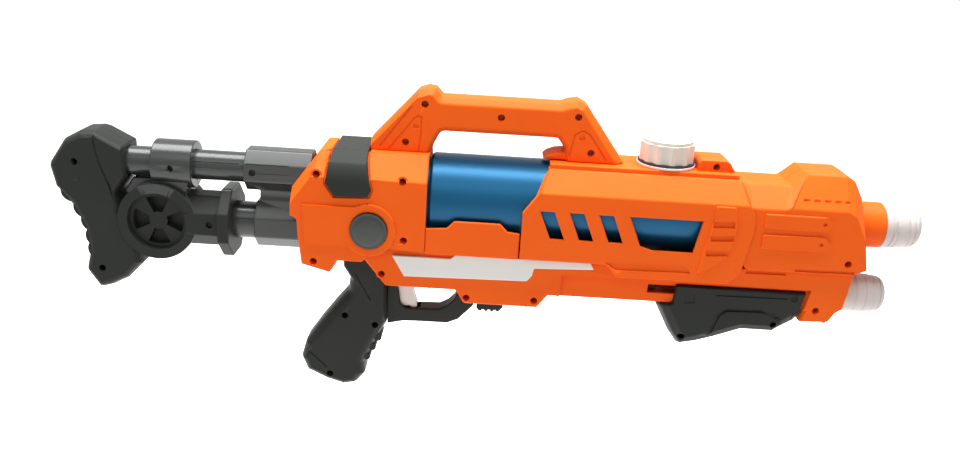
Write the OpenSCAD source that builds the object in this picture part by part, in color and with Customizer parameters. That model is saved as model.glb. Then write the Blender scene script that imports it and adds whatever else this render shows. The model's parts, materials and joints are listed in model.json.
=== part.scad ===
// Pump water squirter with a shoulder stock.
// X points to the muzzle, Z up, Y to the left side. The origin is the middle of the pistol grip.

/* [Casing] */
// Wall of every moulded shell
wall = 2.5; // [2:0.1:3]
// Gap between neighbouring shells
seam = 0.3; // [0.2:0.05:0.4]
// Top plane that the carry handle stands on
top_z = 166; // [164:0.5:170]
// Line where the lower body meets the shells above it
split_z = 92; // [91:0.25:93]
// Line where the lower body meets the front housing
front_split_z = 93.5; // [92.5:0.25:94]
// Line where the rear housing ends and the tank begins
rear_end_x = 66.5; // [64:0.5:69]
// Half width of the rear housing
rear_half_w = 37.5; // [36.5:0.25:39]
// Depth of the long chamfer along the rear housing's top
rear_chamfer = 18; // [14:0.5:20]
// Half width of the lower body
lower_half_w = 32; // [31:0.25:33.5]
// Underside of the lower body
lower_z = 59; // [58:0.25:60]
// Underside of the block ahead of the trigger
block_z = 48; // [46:0.5:50]
// Half width of the front housing
front_half_w = 35.5; // [34:0.25:36]
// Top of the muzzle block
muzzle_top_z = 169; // [166:0.5:172]
// Depth of the chamfer along the shroud's top
shroud_chamfer = 16; // [13:0.5:17]

/* [Tank and cap] */
// Outer radius of the water tank
tank_r = 34; // [33:0.25:34.5]
// Height of the tank's axis
tank_z = 129; // [128.5:0.25:129]
// Wall of the tank
tank_wall = 2; // [1.5:0.1:2.5]
// Room between the tank and the shells round it
tank_gap = 0.5; // [0.3:0.1:0.8]
// Position of the filler cap along the squirter
cap_x = 252; // [248:0.5:253]
// Outer radius of the filler cap
cap_r = 21.5; // [19:0.25:22.5]
// Height of the filler cap
cap_h = 17.5; // [14:0.5:20]
// Outer radius of the filler neck
neck_r = 15.5; // [13:0.25:16.5]
// Wall of the filler neck
neck_wall = 2.5; // [2:0.1:3]
// Grip lobes round the filler cap
cap_lobes = 12; // [10:1:20]

/* [Shroud openings] */
// Slanted slots in a row
slot_count = 3; // [2:1:3]
// Distance from slot to slot
slot_pitch = 22.7; // [21:0.1:24]
// Width of a slanted slot
slot_w = 11; // [9:0.25:12]
// Height of the slots
slot_h = 22; // [18:0.5:24]

/* [Carry handle] */
// Half width of the carry handle
handle_half_w = 13; // [11:0.25:15]
// Top of the handle's bar
handle_top_z = 210; // [206:0.5:214]
// Underside of the handle's bar
handle_low_z = 183; // [180:0.5:186]

/* [Pistol grip] */
// Half width of the pistol grip
grip_half_w = 16; // [14.5:0.25:17]
// Half width of the trigger guard
guard_half_w = 8; // [7.5:0.25:10]
// Width of the trigger
trigger_w = 10; // [8:0.25:10.5]
// Height of the trigger's pivot
pivot_z = 84; // [83.5:0.25:84.5]
// Position of the trigger's pivot along the squirter
pivot_x = 52; // [51:0.25:53]
// Radius of the trigger pin
pin_r = 2; // [1.5:0.1:2.5]

/* [Valve] */
// Height of the valve's axis
valve_z = 72; // [71.5:0.25:72.5]
// Outer radius of the valve body
valve_r = 9; // [8:0.25:9.5]
// Radius of the valve's bore
valve_bore_r = 5.5; // [5:0.1:6]
// Radius of the valve stem
stem_r = 2; // [1.5:0.1:2.2]
// Turns of the valve spring
spring_turns = 8; // [5:1:10]
// Radius of the spring wire
wire_r = 0.5; // [0.4:0.05:0.6]

/* [Pump] */
// Height of the pump's axis
pump_z = 69.8; // [69:0.1:70.5]
// Outer radius of the pump cylinder
cylinder_r = 9.5; // [8.5:0.25:9.75]
// Wall of the pump cylinder
cylinder_wall = 1.5; // [1.2:0.1:2]
// Radius of the pump rod
rod_r = 3.5; // [2.5:0.25:4]
// Height of the cross bar that joins the rod to the handle
bar_h = 6.5; // [5:0.25:7.5]
// Stroke of the pump
stroke = 80; // [60:1:82]
// Half width of the rail that the pump handle runs on
rail_half_w = 27; // [26:0.25:27.5]
// Half width of the pump handle
pump_half_w = 31; // [30.5:0.25:33]
// Running clearance between the pump handle and the rail
run_gap = 0.4; // [0.3:0.05:0.6]

/* [Nozzles] */
// Height of the upper nozzle's axis
nozzle_z = 126; // [124:0.5:128]
// Radius of the orange nozzle sleeve
sleeve_r = 18.3; // [16:0.1:19.5]
// Tip of the upper nozzle
nozzle_tip_x = 458; // [450:1:466]
// Radius of the jet bore
jet_r = 1.5; // [1:0.1:2.5]
// Height of the lower nozzle's axis
low_nozzle_z = 67; // [66:0.25:69]
// Radius of the lower nozzle
low_nozzle_r = 16.3; // [14:0.1:17]
// Tip of the lower nozzle
low_tip_x = 441; // [435:1:448]

/* [Stock] */
// Height of the upper stock tube
stock_top_z = 142; // [141:0.5:144]
// Radius of the upper stock tube
top_tube_r = 12; // [11:0.25:13]
// Height of the lower stock tube
stock_low_z = 98; // [97:0.5:98.5]
// Radius of the lower stock tube
low_tube_r = 15; // [13:0.25:15.5]
// Wall of the stock tubes
tube_wall = 2.5; // [2:0.1:3]
// Half width of the butt
butt_half_w = 18; // [16:0.5:21]
// Radius of the disc behind the butt
disc_r = 31; // [28:0.5:31.5]
// Half thickness of the disc
disc_half_w = 20; // [18:0.5:23]

/* [Screws] */
// Radius of a screw shank
screw_r = 1.45; // [1.2:0.05:1.6]
// Radius of a screw head
head_r = 2.6; // [2.3:0.1:2.8]
// Height of a screw head
head_h = 2.2; // [1.8:0.1:2.6]
// Radius of the bosses that the screws run in
boss_r = 4.4; // [4.1:0.1:4.8]

/* [Hidden] */
$fn = 64;

orange = "#E8622A";
grey = "#3C3F3D";
blue = "#14608F";
white = "#DAD9D6";
rubber = "#1C1C1C";
steel = "#9A9C9E";
brass = "#B08D4A";

// A right half is the left half mirrored
right = -1;
left = 1;
part_y = seam / 2;
corner_steps = 3;
least_r = 1;
least_area = 0.001;
fit = 0.05;
slack = 0.2;
through = 1;

// Sizes that follow from the driving ones
lap_gap = 1;
shroud_half_w = max(tank_r + tank_gap + 2, front_half_w + lap_gap) + wall;
spine_top_z = top_z - 0.5;
shroud_top_z = top_z - 4;
shroud_low_z = split_z - 10;
spine_half_w = 22;
shroud_rear_x = 140;
cradle_half_w = tank_r + tank_gap + wall;
ledge_z = split_z - 1;
tank_rear_x = rear_end_x - 8.5;
tank_front_x = 296;
tank_seat_r = tank_r - 4;
tank_nose_r = 12;
tank_nose_x = tank_front_x + 17;
flange_low_z = spine_top_z + seam;
flange_h = 1.7;
seal_h = 1.4;
lobe_depth = 1.4;
seal_z = flange_low_z + flange_h + fit;
cap_z = seal_z + seal_h + fit;
neck_top_z = cap_z + cap_h - 5;
recess_rear_x = 175;
recess_front_x = 373;
recess_top_z = 78;
nose_rear_x = 369.5;
recess_lean = 0.208;
nose_z = 49.5;
bar_l = 14;
bar_front_x = recess_front_x - 5;
bar_rear_x = bar_front_x - bar_l;
bar_x = bar_front_x - bar_l / 2;
bar_pad_r = 5;
pad_sunk = 2.6;
slot_spare = 29;
slot_clear = 1;
slot_rear_x = bar_rear_x - stroke - slot_spare;
cylinder_front_x = 252;
bore_r = cylinder_r - cylinder_wall;
gland_l = 6;
piston_l = 12;
piston_spare = 4;
piston_front_x = cylinder_front_x - gland_l - piston_spare;
piston_rear_x = piston_front_x - piston_l;
cylinder_rear_x = piston_rear_x - stroke - wall - 2 * piston_spare + 0.5;
rod_bite = 6;
bar_bite = 10;
groove_x = piston_rear_x + 4;
groove_l = 3;
groove_depth = 2;
valve_rear_x = 64;
valve_front_x = 112;
valve_inlet_x = 88;
spigot_r = 3.2;
spigot_l = 6;
check_seat_h = 6;
check_t = 1.4;
air_back = 16;
air_x = cylinder_rear_x - air_back;
air_y = -6;
air_hose_r = 2.5;
hose_r = 3;
outlet_clear = 2;
outlet_l = tank_z - tank_r - valve_z - valve_r - 2 * outlet_clear;
spigot_meet_z = tank_z - tank_r - outlet_l / 2 - outlet_clear;
barrel_r = 12;
barrel_wall = 2;
barrel_rear_x = 384;
barrel_front_x = low_tip_x - 11;
low_cap_x = 406;
low_bore_r = 4;
sleeve_rear_x = 386;
sleeve_front_x = 428;
sleeve_wall = 3;
jet_rear_x = 350;
jet_sunk = 6;
jet_seat_r = 6;
disc_x = -148;
socket_end_x = -26;
socket_wall = 4;
top_tube_x = -186;
low_tube_x = -128;
screw_grip = 12;
screw_bite = 10;
thin_grip = 5;
thin_bite = 6;
top_grip = top_tube_r + 1;
top_bite = top_tube_r + 3;
low_grip = low_tube_r + 1;
low_bite = low_tube_r + 3;

// Screw places, as seen from the right side
rear_screws = [[-18, 150], [48, 148], [50, 101], [-20, 79.5]];
lower_screws = [[33, 70], [101, 54], [155, 55], [379, 61]];
shroud_screws = [[289, 169]];
front_screws = [[396, 103]];
bar_screws = [[61, 204], [47, 173.5], [120, 197], [179, 201], [191, 173.5]];
grip_screw_places = [[2, 25], [27, 18], [-10, -29]];
pump_screw_places = [[348, 46], [276, 31]];
butt_screws = [[-211, 143], [-195, 55]];
collar_screws = [[-136, stock_top_z]];
arm_screws = [[-106, stock_low_z]];
socket_screws = [[-72, stock_top_z]];

// Each outline runs anticlockwise as seen from the right side. A corner holds its place, its rounding,
// how far the edge after it draws in with the outline, and whether that edge has a wall (1) or is open (-1).
rear_outline = [
  [-31, 75.5, 3, 0.1, 1], [-6, 69, 3, 0.1, 1], [-1, 81, 0, 0, 1], [18, 81, 0, 0, 1],
  [26, split_z, 0, 0, -1], [rear_end_x, split_z, 0, 0, -1], [rear_end_x, top_z, 0, 1, 1],
  [-17, top_z, 4, 0.35, 1], [-40, 134, 3, 0.1, 1], [-40, 115, 2, 0.1, 1], [-35, 113, 2, 0.1, 1],
  [-34, 99, 0, 0.1, 1]
];
rear_levels = [[part_y, 0], [rear_half_w - rear_chamfer + 0.5, 0], [rear_half_w, rear_chamfer]];

lower_outline = [
  [18 + seam, 81 - seam, 0, 0.5, 1], [36, lower_z, 2, 0.5, 1], [92, lower_z, 2, 0.5, 1],
  [99, block_z, 2, 0.5, 1], [158, block_z, 2, 0.5, 1], [166, lower_z, 2, 0.5, 1],
  [nose_rear_x, lower_z, 0, 0.5, 1], [nose_rear_x - recess_lean * (lower_z - nose_z), nose_z, 1.5, 0.5, 1],
  [391, nose_z + 1, 2, 0.5, 1], [396, 59, 2, 0.5, 1],
  [401, 63, 2, 0.5, 1], [403, 75, 0, 0.5, 1], [405, front_split_z - seam, 0, 0, -1],
  [315, front_split_z - seam, 0, 0, -1], [304, shroud_low_z - seam, 0, 0, -1],
  [217, shroud_low_z - seam, 0, 0, -1], [208, split_z - seam, 0, 0, -1],
  [26 + seam, split_z - seam, 0, 0, 1]
];
lower_levels = [[part_y, 0], [lower_half_w - 4, 0], [lower_half_w, 4]];

cradle_outline = [
  [rear_end_x + seam, ledge_z], [shroud_rear_x - seam, ledge_z], [shroud_rear_x - seam, 112], [130, 113],
  [124, 119], [89, 119], [83, 113], [rear_end_x + seam, 112]
];

shroud_outline = [
  [shroud_rear_x, split_z, 0, 0, 1], [208, split_z, 0, 0, 1], [217, shroud_low_z, 0, 0, 1],
  [304, shroud_low_z, 0, 0, 1], [315, front_split_z, 2, 0.1, -1], [320, 124, 0, 0.1, -1],
  [320, 140, 4, 0.2, -1], [308, shroud_top_z, 3, 1, 1], [160, shroud_top_z, 3, 0.2, -1],
  [shroud_rear_x, 134, 3, 0.05, -1]
];
shroud_levels = [[part_y, 0], [shroud_half_w - shroud_chamfer + 1, 0], [shroud_half_w, shroud_chamfer]];

window_outline = [[223, 132], [279, 132], [274, 105.5], [243, 105.5], [233, 108.5]];
slot_top_z = 132;
slot_slant = 9;
slot_start_x = 154;
thumb_panel = [
  [279, 89], [290, 96], [300, 104], [305, 119], [305, 134], [302, 145], [287, 145], [286, 131], [281, 104]
];
hump_outline = [
  [275, shroud_top_z - 2], [307, shroud_top_z - 2], [300, top_z + 6], [297, top_z + 8],
  [277, top_z + 8], [275, top_z + 6]
];
hump_half_w = 15;

front_outline = [
  [318, front_split_z, 0, 0, 1], [405, front_split_z, 2, 0.1, 1], [415, 98, 3, 0.15, 1],
  [403, 153, 6, 0.5, 1],
  [396, muzzle_top_z - 3.5, 4, 0.9, 1], [389, muzzle_top_z, 3, 1, 1], [359, muzzle_top_z, 3, 0.35, 1],
  [347, 158.5, 3, 0.62, 1], [308, 158.5, 0, 0, -1],
  [308, 106, 0, 0, -1]
];
front_levels = [[part_y, 0], [front_half_w - 16.5, 0], [front_half_w, 24]];
rib_z = [134.5, 118];
rib_half_h = 6;
rib_rear_x = 326;
rib_front_x = 372;
rib_rise = 1.5;

handle_outline = [
  [20, top_z + seam, 0, 0, -1], [67, top_z + seam, 0, 0.6, 1], [69, 173, 0, 0.6, 1],
  [74, handle_low_z, 5, 0.8, 1], [165, handle_low_z, 4, 0.6, 1], [170, 176, 4, 0.6, 1],
  [171, spine_top_z + seam, 0, 0, -1], [218, spine_top_z + seam, 0, 1, 1], [185, handle_top_z, 5, 1, 1],
  [178, handle_top_z + 3.5, 3, 1, 1], [170, handle_top_z + 2, 0, 1, 1], [166, handle_top_z, 3, 1, 1],
  [74, handle_top_z, 3, 1, 1], [69, handle_top_z + 5.5, 3, 1, 1], [63, handle_top_z + 6.5, 3, 1, 1],
  [56, handle_top_z + 4, 4, 0.6, 1], [20, 174, 2, 0, 1]
];
handle_levels = [[part_y, 0], [handle_half_w - 5, 0], [handle_half_w, 5]];

grip_outline = [
  [-35, -17, 5, 1, 1], [-30, -29, 5, 1, 1], [-13, -37, 0, 1, 1], [1, -41, 5, 1, 1], [11, -39, 5, 1, 1],
  [19, -29, 4, 1, 1], [18, -18, 4, 1, 1], [28, 4, 0, 1, 1], [36, 19, 8, 0.5, 1],
  [36, lower_z - seam, 0, 0, 1],
  [18, 81 - seam - 0.3, 0, 0, 1], [-1 + seam, 81 - seam, 0, 0.5, 1], [-1 + seam, 67, 3, 0.5, 1],
  [5, 58, 4, 1, 1], [4, 46, 6, 1, 1], [-8, 31, 0, 1, 1], [-19, 16, 0, 1, 1], [-31, -2, 8, 1, 1]
];
grip_levels = [[part_y, 0], [grip_half_w - 8, 0], [grip_half_w - 3, 2], [grip_half_w, 6]];
grip_ridges = [[20, -14], [24.5, -5], [29, 4]];
ridge_r = 3;

guard_end_x = 109;
guard_outline = [
  [36 + seam, 17], [49, 20], [86, 20], [95, 24], [107, 37], [guard_end_x, block_z - seam], [97, block_z - seam],
  [92, 46], [91, 42], [86, 36.5], [79, 32.5], [52, 31.5], [47, 35], [44.5, 50], [44.5, lower_z - seam],
  [36 + seam, lower_z - seam]
];

trigger_outline = [
  [47, 32], [54, 32.5], [58, 29], [60.5, 32.5], [57, 45], [57.5, 57], [58, 70], [58, pivot_z],
  [46, pivot_z], [44, valve_z + 5], [44, 62], [43.5, 50], [44.5, 40]
];
hub_r = 6;
trigger_slack = 0.6;
stem_head_x = 41.3;
stem_head_l = 2;

panel_outline = [
  [41, 87], [51, 70], [148, 72], [152, 77], [153, 83], [200, 85], [197, ledge_z - seam], [91, ledge_z - seam],
  [87, 87]
];
panel_t = 2;
rib_back = 8;
rib_up = 6;

pump_outline = [
  [253, 57, 3, 1, 1], [266, 33, 0, 1, 1], [275, 21, 4, 1, 1], [289, 24, 0, 1, 1], [304, 29, 0, 1, 1],
  [324, 37, 8, 1, 1], [350, 37, 3, 1, 1], [355, 41, 3, 1, 1], [361, 45, 4, 0.6, 1],
  [recess_front_x - 1 - recess_lean * (recess_top_z - 51), 51, 3, 0.2, 1],
  [recess_front_x - 1 - recess_lean * (recess_top_z - 76), 76, 2, 0.2, 1], [266, 76, 2, 0.2, 1],
  [265, 61, 2, 0.3, 1]
];
// Recess that the pump handle's sides run in, with a front edge that leans like the handle's
recess_outline = [
  [recess_rear_x, lower_z - 20], [recess_front_x - recess_lean * (recess_top_z - lower_z + 20), lower_z - 20],
  [recess_front_x, recess_top_z], [recess_rear_x, recess_top_z]
];
pump_levels = [[part_y, 0], [pump_half_w - 11, 0], [pump_half_w - 4, 3], [pump_half_w, 9]];

butt_outline = [
  [-199, 36, 4, 1, 1], [-189, 39, 0, 1, 1], [-176, 46, 6, 1, 1], [-163, 60, 4, 1, 1], [-164, 76, 4, 1, 1],
  [-178, 108, 8, 1, 1], [-180, 118, 6, 1, 1], [-172, 130, 4, 0.3, 1], [-173, 157, 3, 0.6, 1],
  [-195, 168, 5, 1, 1], [-206, 167, 5, 1, 1], [-219, 160, 8, 1, 1], [-233, 139, 6, 1, 1],
  [-229, 121, 6, 1, 1], [-216, 105, 10, 1, 1], [-208, 88, 10, 1, 1], [-206, 68, 6, 1, 1], [-210, 52, 6, 1, 1]
];
butt_levels = [[part_y, 0], [butt_half_w - 7, 0], [butt_half_w - 2, 2], [butt_half_w, 5]];

hose_route = [
  [valve_front_x + spigot_l, valve_z], [124, valve_z], [128, 73], [133, 78], [137, 84], [142, 87], [200, 87],
  [300, 87], [310, 89], [318, 96], [326, 112], [332, 121], [340, nozzle_z], [jet_rear_x, nozzle_z]
];
air_route = [
  [cylinder_rear_x - spigot_l - fit, pump_z], [cylinder_rear_x - spigot_l - 4, pump_z],
  [air_x + 2.5, pump_z + 2.2], [air_x, pump_z + 6.2], [air_x, pump_z + 10.2], [air_x, spigot_meet_z]
];

function unit(v) = v / norm(v);

// Inward normal of the edge that starts at corner i of an outline
function edge_normal(o, i) =
  let (b = o[(i + 1) % len(o)], d = unit([b[0] - o[i][0], b[1] - o[i][1]])) [-d[1], d[0]];

// Corner p moved with its two edges, whose normals are a and b, by da and db
function moved_corner(p, a, b, da, db) =
  let (det = a[0] * b[1] - a[1] * b[0])
  abs(det) < 0.01 ? p + b * db
  : p + [(b[1] * da - a[1] * db) / det, (a[0] * db - b[0] * da) / det];

// Arc of radius r in the corner b between a and c
function corner_arc(a, b, c, r) =
  let (
    u = unit(a - b), v = unit(c - b), half = acos(u * v) / 2, o = b + unit(u + v) * r / sin(half),
    p = b + u * r / tan(half) - o, q = b + v * r / tan(half) - o,
    start = atan2(p[1], p[0]), turn = atan2(p[0] * q[1] - p[1] * q[0], p * q)
  )
  [for (i = [0 : corner_steps]) let (t = start + turn * i / corner_steps) o + r * [cos(t), sin(t)]];

// Points of an outline drawn in by inset, and by w where its edges have a wall
function ring(o, inset, w) =
  let (
    n = len(o), d = [for (c = o) inset * c[3] + w * c[4]], nor = [for (i = [0 : n - 1]) edge_normal(o, i)],
    p = [for (i = [0 : n - 1]) let (h = (i + n - 1) % n)
      moved_corner([o[i][0], o[i][1]], nor[h], nor[i], d[h], d[i])]
  )
  [for (i = [0 : n - 1]) let (
      h = (i + n - 1) % n, out = nor[h][0] * nor[i][1] - nor[h][1] * nor[i][0] > 0,
      r = max(least_r, o[i][2] + (out ? -1 : 1) * min(d[h], d[i]))
    ) each (o[i][2] == 0 ? [p[i]] : corner_arc(p[h], p[i], p[(i + 1) % n], r))];

// Twice the area of the triangle a, b, c, positive where it turns left
function turn_area(a, b, c) = (b[0] - a[0]) * (c[1] - a[1]) - (b[1] - a[1]) * (c[0] - a[0]);

function is_inside(p, a, b, c) =
  turn_area(a, b, p) >= 0 && turn_area(b, c, p) >= 0 && turn_area(c, a, p) >= 0;

// Whether corner k of the points left in ids can be cut off as a triangle
function is_ear(pts, ids, k) =
  let (n = len(ids), a = ids[(k + n - 1) % n], b = ids[k], c = ids[(k + 1) % n])
  turn_area(pts[a], pts[b], pts[c]) > least_area
  && len([for (i = ids) if (i != a && i != b && i != c && is_inside(pts[i], pts[a], pts[b], pts[c])) i]) == 0;

function next_ear(pts, ids, k, tries) =
  tries == 0 || is_ear(pts, ids, k % len(ids)) ? k % len(ids) : next_ear(pts, ids, k + 1, tries - 1);

// Triangles that fill a closed outline, cut off one corner at a time
function filled(pts, ids, start) =
  len(ids) == 3 ? [ids]
  : let (n = len(ids), k = next_ear(pts, ids, start, n))
    concat([[ids[(k + n - 1) % n], ids[k], ids[(k + 1) % n]]],
      filled(pts, [for (i = [0 : n - 1]) if (i != k) ids[i]], k + 1));

// Solid through rings of points, each [y, points]
module lofted(rings) {
  n = len(rings[0][1]);
  m = len(rings);
  ids = [for (i = [0 : n - 1]) i];
  points = [for (r = rings) for (p = r[1]) [p[0], r[0], p[1]]];
  sides = [for (k = [0 : m - 2]) for (i = [0 : n - 1]) let (
      j = (i + 1) % n, a = k * n + i, b = k * n + j, c = (k + 1) * n + j, d = (k + 1) * n + i
    ) each [[a, b, c], [a, c, d]]];
  near = [for (t = filled(rings[0][1], ids, 0)) [t[2], t[1], t[0]]];
  far = [for (t = filled(rings[m - 1][1], ids, 0)) [for (i = t) (m - 1) * n + i]];
  polyhedron(points, concat(sides, near, far), convexity = 10);
}

module outline_solid(o, levels) {
  lofted([for (l = levels) [l[0], ring(o, l[1], 0)]]);
}

// The room inside a moulded half
module outline_room(o, levels) {
  lofted([for (l = levels) [l[0] - wall, ring(o, l[1], wall)]]);
}

// Left halves are modelled, right halves are mirrored
module on_side(side) {
  mirror([0, side == right ? 1 : 0, 0]) children();
}

module y_cylinder(x, z, y0, y1, r) {
  translate([x, y0, z]) rotate([-90, 0, 0]) cylinder(h = y1 - y0, r = r);
}

module x_cylinder(x0, x1, y, z, r) {
  translate([x0, y, z]) rotate([0, 90, 0]) cylinder(h = x1 - x0, r = r);
}

// Octagonal bar along X with the given half height across its flats
module x_octagon(x0, x1, z, half) {
  translate([x0, 0, z]) rotate([0, 90, 0]) rotate([0, 0, 22.5])
    cylinder(h = x1 - x0, r = half / cos(22.5), $fn = 8);
}

// Flat outline in the side view, from y0 to y1
module side_plate(points, y0, y1) {
  translate([0, y1, 0]) rotate([90, 0, 0]) linear_extrude(y1 - y0) polygon(points);
}

module bosses(places, y1) {
  for (p = places) y_cylinder(p[0], p[1], part_y, y1, boss_r);
}

// Counterbored holes in the right half, pilot holes in the left one
module screw_holes(places, side, grip, bite) {
  for (p = places) {
    if (side == right) {
      y_cylinder(p[0], p[1], -through, grip + through, screw_r + slack);
      y_cylinder(p[0], p[1], grip, 2 * shroud_half_w, head_r + slack);
    }
    else y_cylinder(p[0], p[1], -through, bite + through, screw_r + fit);
  }
}

module screws(places, grip, bite) {
  for (p = places) {
    y_cylinder(p[0], p[1], -grip - head_h, -grip, head_r);
    y_cylinder(p[0], p[1], -grip - head_h / 2, bite, screw_r);
  }
}

// Round tube along a route in the plane y
module routed_tube(route, y, r) {
  sides = 10;
  n = len(route);
  points = [for (i = [0 : n - 1]) let (
      d = unit(route[min(i + 1, n - 1)] - route[max(i - 1, 0)])
    ) for (k = [0 : sides - 1]) let (a = 360 * k / sides, s = r * cos(a))
      [route[i][0] - d[1] * s, y + r * sin(a), route[i][1] + d[0] * s]];
  walls = [for (i = [0 : n - 2]) for (k = [0 : sides - 1]) let (
      j = (k + 1) % sides, a = i * sides + k, b = i * sides + j, c = b + sides, d = a + sides
    ) each [[a, c, b], [a, d, c]]];
  caps = [[for (k = [0 : sides - 1]) k], [for (k = [sides - 1 : -1 : 0]) (n - 1) * sides + k]];
  polyhedron(points, concat(walls, caps), convexity = 6);
}

// Coil along X, one unbroken wire
module coil(x0, x1, z, r) {
  sides = 6;
  steps = 12;
  n = spring_turns * steps;
  rise = (x1 - x0 - 2 * wire_r) / n;
  points = [for (i = [0 : n]) let (a = 360 * i / steps) for (k = [0 : sides - 1]) let (
      b = 360 * k / sides, q = r + wire_r * cos(b)
    ) [x0 + wire_r + rise * i + wire_r * sin(b), q * cos(a), z + q * sin(a)]];
  walls = [for (i = [0 : n - 1]) for (k = [0 : sides - 1]) let (
      j = (k + 1) % sides, a = i * sides + k, b = i * sides + j, c = b + sides, d = a + sides
    ) each [[a, c, b], [a, d, c]]];
  caps = [[for (k = [0 : sides - 1]) k], [for (k = [sides - 1 : -1 : 0]) n * sides + k]];
  polyhedron(points, concat(walls, caps), convexity = 10);
}

button_x = 23;
button_z = 108;
button_r = 14.2;
button_rise = 3.5;
panel_rise = 1.5;

module rear_housing(side) {
  on_side(side) difference() {
    union() {
      difference() {
        outline_solid(rear_outline, rear_levels);
        outline_room(rear_outline, rear_levels);
      }
      // Raised keyhole panel round the button
      side_plate([[-27, 94], [button_x, 94], [button_x, 126], [-29, 126]], rear_half_w - wall,
        rear_half_w + panel_rise);
      y_cylinder(button_x, button_z, rear_half_w - wall, rear_half_w + panel_rise, button_r + 7);
      bosses(rear_screws, rear_half_w - wall / 2);
      // Ring that the tank's rear end sits in
      intersection() {
        outline_solid(rear_outline, rear_levels);
        translate([tank_rear_x + 1, 0, split_z + 2]) cube([wall, rear_half_w, top_z - split_z - 4]);
      }
    }
    x_cylinder(tank_rear_x - through, rear_end_x + through, 0, tank_z, tank_seat_r + fit);
    y_cylinder(button_x, button_z, rear_half_w, rear_half_w + button_rise, button_r + slack);
    screw_holes(rear_screws, side, screw_grip, screw_bite);
    stock_socket_shape(slack + fit);
  }
}

module rear_housing_right() {
  color(orange) rear_housing(right);
}

module rear_housing_left() {
  color(orange) rear_housing(left);
}

// Upright rib from the floor at z0, out to half width w
module rib(x, z0, z1, w) {
  translate([x, part_y, z0 + through]) cube([wall, w - part_y, z1 - z0 - through]);
}

module lower_body(side) {
  on_side(side) difference() {
    union() {
      difference() {
        outline_solid(lower_outline, lower_levels);
        outline_room(lower_outline, lower_levels);
      }
      // Side wall and ledge of the strip under the tank
      side_plate(cradle_outline, cradle_half_w - wall, cradle_half_w);
      translate([rear_end_x + seam, lower_half_w - wall, ledge_z])
        cube([shroud_rear_x - rear_end_x - 2 * seam, cradle_half_w - lower_half_w + wall, wall]);
      // Inner wall of the rail that the pump handle runs on
      translate([recess_rear_x - wall, rail_half_w - wall, lower_z])
        cube([
          recess_front_x - recess_rear_x + 2 * wall, lower_half_w - rail_half_w, recess_top_z - lower_z + wall
        ]);
      bosses(lower_screws, lower_half_w - wall / 2);
      // Boss of the trigger pin
      y_cylinder(pivot_x, pivot_z, trigger_w / 2 + trigger_slack, lower_half_w - wall / 2, pin_r + wall);
      // Ribs that hold the pump cylinder, the valve and the lower barrel
      rib(cylinder_rear_x + rib_back, block_z, pump_z + rib_up, lower_half_w - wall / 2);
      rib(cylinder_front_x - 2 * rib_back, lower_z, pump_z + rib_up, rail_half_w - wall / 2);
      rib(valve_rear_x + rib_up, lower_z, valve_z + rib_up, lower_half_w - wall / 2);
      rib(valve_front_x - rib_back, block_z, valve_z + rib_up, lower_half_w - wall / 2);
      rib(barrel_rear_x + wall, nose_z, low_nozzle_z + barrel_r + wall, lower_half_w - wall / 2);
    }
    side_plate(recess_outline, rail_half_w, rail_half_w + lower_half_w);
    translate([slot_rear_x, 0, pump_z - bar_h / 2 - run_gap])
      cube([bar_front_x + slot_clear - slot_rear_x, 2 * rail_half_w, bar_h + 2 * run_gap]);
    x_cylinder(cylinder_rear_x, cylinder_front_x + 30, 0, pump_z, cylinder_r + fit);
    x_cylinder(valve_rear_x, valve_front_x, 0, valve_z, valve_r + fit);
    x_cylinder(barrel_rear_x, low_tip_x, 0, low_nozzle_z, barrel_r + fit);
    y_cylinder(pivot_x, pivot_z, -through, lower_half_w - wall, pin_r + fit);
    // Way out for the trigger
    trigger_way();
    screw_holes(lower_screws, side, screw_grip, screw_bite);
  }
}

module lower_body_right() {
  color(orange) lower_body(right);
}

module lower_body_left() {
  color(orange) lower_body(left);
}

module tank_shroud(side) {
  on_side(side) difference() {
    union() {
      difference() {
        outline_solid(shroud_outline, shroud_levels);
        outline_room(shroud_outline, shroud_levels);
      }
      // Spine, hump and the seat of the filler neck
      translate([160, part_y, shroud_top_z - wall])
        cube([146, spine_half_w - part_y, spine_top_z - shroud_top_z + wall]);
      side_plate(hump_outline, part_y, hump_half_w);
      side_plate(thumb_panel, shroud_half_w - wall, shroud_half_w + panel_rise);
    }
    x_cylinder(100, tank_front_x + 30, 0, tank_z, tank_r + tank_gap);
    translate([cap_x, 0, tank_z]) cylinder(h = top_z, r = neck_r + slack);
    // Room for what runs under the tank
    translate([130, -through, shroud_low_z - through])
      cube([200, lower_half_w - wall + through, tank_z - tank_r / 2 - shroud_low_z]);
    for (i = [0 : slot_count - 1]) let (x = slot_start_x + i * slot_pitch)
      side_plate([
        [x, slot_top_z], [x + slot_slant, slot_top_z - slot_h],
        [x + slot_slant + slot_w, slot_top_z - slot_h], [x + slot_w, slot_top_z]
      ], tank_r / 2, 2 * shroud_half_w);
    side_plate(window_outline, tank_r / 2, 2 * shroud_half_w);
    screw_holes(shroud_screws, side, thin_grip, thin_bite);
  }
}

module tank_shroud_right() {
  color(orange) tank_shroud(right);
}

module tank_shroud_left() {
  color(orange) tank_shroud(left);
}

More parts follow.
